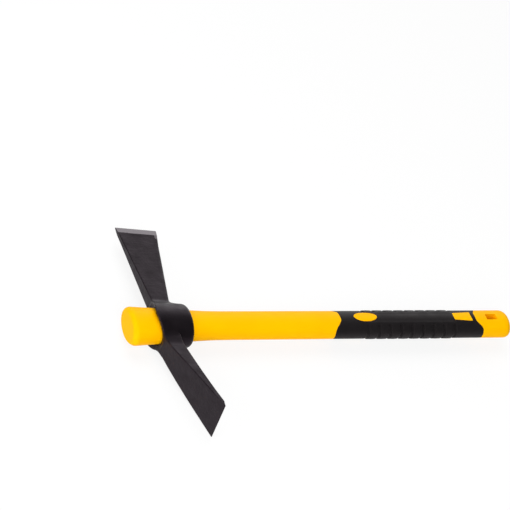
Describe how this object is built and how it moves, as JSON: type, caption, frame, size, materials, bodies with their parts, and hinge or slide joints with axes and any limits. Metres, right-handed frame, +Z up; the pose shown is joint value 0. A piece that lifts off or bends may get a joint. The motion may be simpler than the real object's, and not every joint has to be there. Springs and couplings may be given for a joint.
{
  "type": "cutter mattock",
  "caption": "Short cutter mattock: a forged steel head with an axe blade and an adze blade on a tapered eye, on a moulded handle with a ribbed soft grip and a lanyard slot.",
  "frame": {"origin": "middle of the bounding box, at its bottom, with the tool lying on its side", "axes": "+X along the handle from the head to the butt, +Y along the axe blade, +Z up across the tool"},
  "size_m": [0.38, 0.2354, 0.0388],
  "materials": {
    "head_steel": "dark lacquer over forged steel, with ground cutting edges",
    "jacket_plastic": "satin moulded",
    "grip_rubber": "matt moulded",
    "core_glass_fibre": "pultruded"
  },
  "bodies": {
    "handle": {"core_rod": "core_glass_fibre", "jacket": "jacket_plastic", "grip": "grip_rubber"},
    "head": {"head": "head_steel"}
  },
  "joints": [
    {"name": "head_slide", "type": "slide", "parent": "handle", "child": "head", "axis": [1, 0, 0], "range_m": [0, 0.36]}
  ]
}
